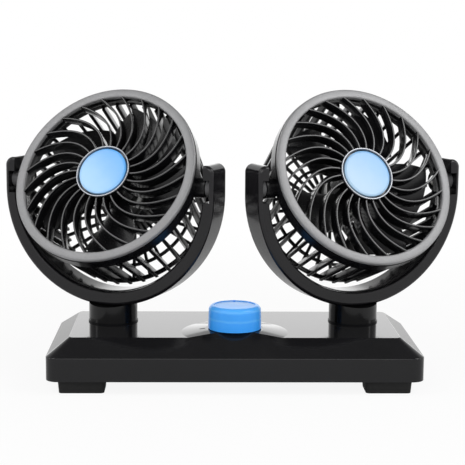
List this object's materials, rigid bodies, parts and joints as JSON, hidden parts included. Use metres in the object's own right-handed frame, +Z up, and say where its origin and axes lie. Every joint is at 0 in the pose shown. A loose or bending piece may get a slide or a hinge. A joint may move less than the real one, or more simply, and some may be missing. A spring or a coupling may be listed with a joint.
{
  "type": "twin-head dashboard fan",
  "caption": "Low flat base with a speed knob, two turning posts and two U-yokes, each with a tilting round fan head behind a spiral grille.",
  "frame": {"origin": "centre of the fan's bounding box on plan, on the plane the feet stand on, 11.2 mm behind the centre of the base", "axes": "+Z up, +X along the base towards the right-hand head as seen from the front, +Y to the rear; the fan faces -Y"},
  "size_m": [0.2858, 0.1242, 0.1749],
  "materials": {
    "gloss_black": "polished black ABS",
    "satin_black": "satin black ABS",
    "matt_black": "fine texture",
    "silver_grey": "silver-grey, satin",
    "blue_knob": "light blue, satin",
    "blue_disc": "sky blue, smooth",
    "bright_metal": "bright rolled ring",
    "rubber_black": "matt rubber",
    "dark_acetal": "smooth dark acetal",
    "switch_grey": "moulded",
    "steel": "plated",
    "motor_can": "zinc plated"
  },
  "bodies": {
    "base": {"base_housing": "gloss_black", "bottom_cover": "matt_black", "bottom_cover_screws": "steel", "rotary_switch": "switch_grey", "switch_nut": "steel", "cord_gland": "rubber_black", "foot_front_left": "rubber_black", "foot_front_right": "rubber_black", "foot_rear_left": "rubber_black", "foot_rear_right": "rubber_black", "left_swivel_washer": "dark_acetal", "right_swivel_washer": "dark_acetal"},
    "knob": {"speed_knob": "blue_knob", "switch_shaft": "steel"},
    "left_yoke": {"left_swivel_post": "satin_black", "left_retaining_plate": "steel", "left_retaining_screws": "steel", "left_yoke_front_cover": "satin_black", "left_yoke_rear_shell": "satin_black", "left_pivot_bushes": "dark_acetal"},
    "left_head": {"left_bezel_ring": "silver_grey", "left_housing_band": "gloss_black", "left_pivot_pins": "steel", "left_front_grille": "satin_black", "left_hub_ring": "bright_metal", "left_hub_disc": "blue_disc", "left_rear_cage": "satin_black", "left_motor": "motor_can", "left_motor_screws": "steel"},
    "left_fan": {"left_motor_shaft": "steel", "left_impeller": "gloss_black"},
    "right_yoke": {"right_swivel_post": "satin_black", "right_retaining_plate": "steel", "right_retaining_screws": "steel", "right_yoke_front_cover": "satin_black", "right_yoke_rear_shell": "satin_black", "right_pivot_bushes": "dark_acetal"},
    "right_head": {"right_bezel_ring": "silver_grey", "right_housing_band": "gloss_black", "right_pivot_pins": "steel", "right_front_grille": "satin_black", "right_hub_ring": "bright_metal", "right_hub_disc": "blue_disc", "right_rear_cage": "satin_black", "right_motor": "motor_can", "right_motor_screws": "steel"},
    "right_fan": {"right_motor_shaft": "steel", "right_impeller": "gloss_black"}
  },
  "joints": [
    {"name": "speed_knob_turn", "type": "hinge", "parent": "base", "child": "knob", "pos_m": [0, -0.03217, 0.0338], "axis": [0, 0, 1], "range_deg": [-135, 135]},
    {"name": "left_swivel", "type": "hinge", "parent": "base", "child": "left_yoke", "pos_m": [-0.075, -0.00117, 0.0319], "axis": [0, 0, 1], "range_deg": [-147.5, 192.5]},
    {"name": "left_tilt", "type": "hinge", "parent": "left_yoke", "child": "left_head", "pos_m": [-0.075, -0.00117, 0.11745], "axis": [-0.9239, 0.3827, 0], "range_deg": [-67.5, 42.5]},
    {"name": "left_fan_spin", "type": "hinge", "parent": "left_head", "child": "left_fan", "pos_m": [-0.075, -0.00117, 0.11745], "axis": [-0.3228, -0.7792, 0.5373], "continuous": true},
    {"name": "right_swivel", "type": "hinge", "parent": "base", "child": "right_yoke", "pos_m": [0.075, -0.00117, 0.0319], "axis": [0, 0, 1], "range_deg": [-192.5, 147.5]},
    {"name": "right_tilt", "type": "hinge", "parent": "right_yoke", "child": "right_head", "pos_m": [0.075, -0.00117, 0.11745], "axis": [-0.9239, -0.3827, 0], "range_deg": [-65, 45]},
    {"name": "right_fan_spin", "type": "hinge", "parent": "right_head", "child": "right_fan", "pos_m": [0.075, -0.00117, 0.11745], "axis": [0.3314, -0.8001, 0.5], "continuous": true}
  ]
}
